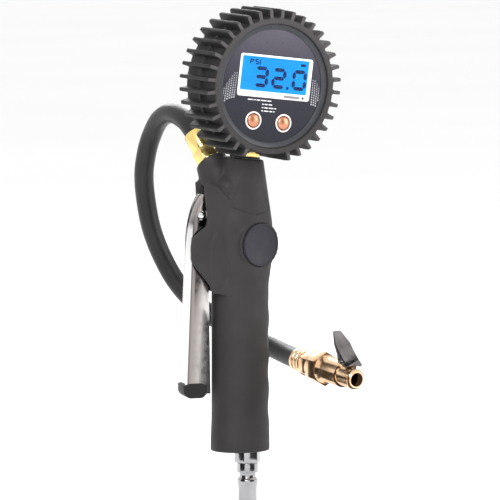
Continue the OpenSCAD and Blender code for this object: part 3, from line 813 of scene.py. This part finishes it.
# The printed dots in millimetres: the steps across and down, the top row's height, its dots' radius,
# and the radius where the print ends.
DOT_ROWS = 11
DOT_COLUMNS = 6
DOT_STEP = (1.5, 1.42)
DOT_TOP = 5.6
DOT_R = 0.24
PRINT_R = 32.8


def dot_rows(side):
    """Rows of small printed dots beside the display; more and larger lower down."""
    dots = []
    first = 27.5 if side > 0 else 24.5
    for row in range(DOT_ROWS):
        y = DOT_TOP - DOT_STEP[1] * row
        for col in range(DOT_COLUMNS):
            x = first + DOT_STEP[0] * col + 0.05 * row
            if math.hypot(x, y) > PRINT_R or (row < 4 and col > 1 + row):
                continue
            dots.append(disc(side * x, y - 0.16 * col * col, DOT_R + 0.014 * row, 10))
    return dots


# The dashes' thickness and the gaps between them, in millimetres.
DASH_H = 0.6
DASH_GAP = 0.65


def dashes():
    """Four short printed lines under the display, as plain dashes."""
    rows = [(-15.4, -9.0, [3.2, 1.4, 2.4, 3.8, 2.6]), (-5.4, -11.2, [1.1, 2.0, 2.4]),
            (-5.4, -13.2, [1.1, 2.4, 3.2, 1.2]), (-5.4, -15.1, [1.1, 3.0, 2.0, 0.9])]
    bars = []
    for x, y, widths in rows:
        for w in widths:
            bars.append(box(x + w / 2, y, w, DASH_H))
            x += w + DASH_GAP
    return bars


def make_dial_marks():
    marks = prisms("dial_marks", dot_rows(1) + dot_rows(-1) + dashes(), *DIAL_INK, GAUGE)
    trim(marks, "handle", INK)
    label = prisms("rim_label", [box(14.0, -5.6, 10.8, 1.5)], *LABEL_INK, GAUGE)
    trim(label, "handle", GREY_INK)
    spot = prisms("rim_spot", [disc(21.6, -5.6, 0.8, 20)], *SPOT_INK, GAUGE)
    trim(spot, "handle", DARK_INK)


make_grip()
make_boot()
make_screen_marks()
make_dial_marks()

# ---------- room and light ----------


# The floor's half size, and how far it lies below the plug's end, in metres.
FLOOR_HALF = 30
FLOOR_DROP = 0.0005


def sheet(name, half_w, half_h):
    """A flat rectangle about its middle, in metres."""
    corners = [(-half_w, -half_h, 0), (half_w, -half_h, 0), (half_w, half_h, 0), (-half_w, half_h, 0)]
    return mesh_of(name, corners, [(0, 1, 2, 3)])


def faced(place, look):
    """A placing whose local -Z points at the point to look at."""
    away = (Vector(place) - Vector(look)).normalized()
    return Matrix.Translation(place) @ away.to_track_quat("Z", "Y").to_matrix().to_4x4()


def make_floor():
    floor = sheet("floor", FLOOR_HALF, FLOOR_HALF)
    floor.location.z = -FLOOR_DROP
    paint = Paint("floor_paper", rough=0.9, specular=0.1)
    paint.colour(paint.ramp(paint.noise(2, 2), [(0.3, (0.95, 0.95, 0.95)), (0.7, (0.97, 0.97, 0.97))]))
    dress(floor, paint.mat)


def make_card(name, place, look, w, h, grey):
    """A card that the camera doesn't see, for the dark parts of reflections."""
    card = sheet(name, w / 2, h / 2)
    card.matrix_world = faced(place, look)
    card.visible_camera = False
    card.visible_shadow = False
    paint = Paint(name, rough=0.9, specular=0.0)
    paint.colour(paint.ramp(paint.noise(3, 2), [(0.3, grey), (0.7, tuple(c * 1.1 for c in grey))]))
    dress(card, paint.mat)
    return card


# The plug cards: their distance from the plug's axis, middle height and size, in metres.
PLUG_CARD_AWAY = 0.07
PLUG_CARD_Z = 0.035
PLUG_CARD_W = 0.075
PLUG_CARD_H = 0.13


def make_plug_card(name, degrees, grey):
    """A low dark card close to the plug, for the dark streaks in its chrome."""
    a = math.radians(degrees)
    place = (PLUG_CARD_AWAY * math.cos(a), PLUG_CARD_AWAY * math.sin(a), PLUG_CARD_Z)
    card = make_card(name, place, (0, 0, PLUG_CARD_Z), PLUG_CARD_W, PLUG_CARD_H, grey)
    card.visible_diffuse = False


def make_light(name, place, look, w, h, power, colour=(1, 1, 1)):
    data = bpy.data.lights.new(name, "AREA")
    data.shape = "RECTANGLE"
    data.size = w
    data.size_y = h
    data.energy = power
    data.color = colour
    lamp = link(name, data)
    lamp.matrix_world = faced(place, look)


def make_world():
    world = bpy.data.worlds.new("room")
    world.use_nodes = True
    world.node_tree.nodes["Background"].inputs["Color"].default_value = (1, 1, 1, 1)
    world.node_tree.nodes["Background"].inputs["Strength"].default_value = 1.0
    bpy.context.scene.world = world


make_floor()
make_world()
MIDDLE = (0, 0, 0.17)
make_light("key", (-0.9, -1.3, 1.1), MIDDLE, 0.9, 0.9, 22)
make_light("fill", (1.5, -0.9, 0.6), MIDDLE, 0.7, 1.2, 9)
make_light("rim", (0.3, 1.4, 1.0), MIDDLE, 1.0, 0.6, 10)
make_card("card_left", (-0.75, -0.55, 0.1), MIDDLE, 0.35, 1.2, (0.02, 0.02, 0.02))
make_card("card_right", (0.55, -1.1, 0.1), MIDDLE, 0.25, 1.2, (0.03, 0.03, 0.03))
make_plug_card("card_plug_left", 196, (0.03, 0.03, 0.03))
make_plug_card("card_plug_right", 308, (0.05, 0.05, 0.052))
bpy.context.scene.view_settings.view_transform = "Standard"
bpy.context.scene.view_settings.look = "None"
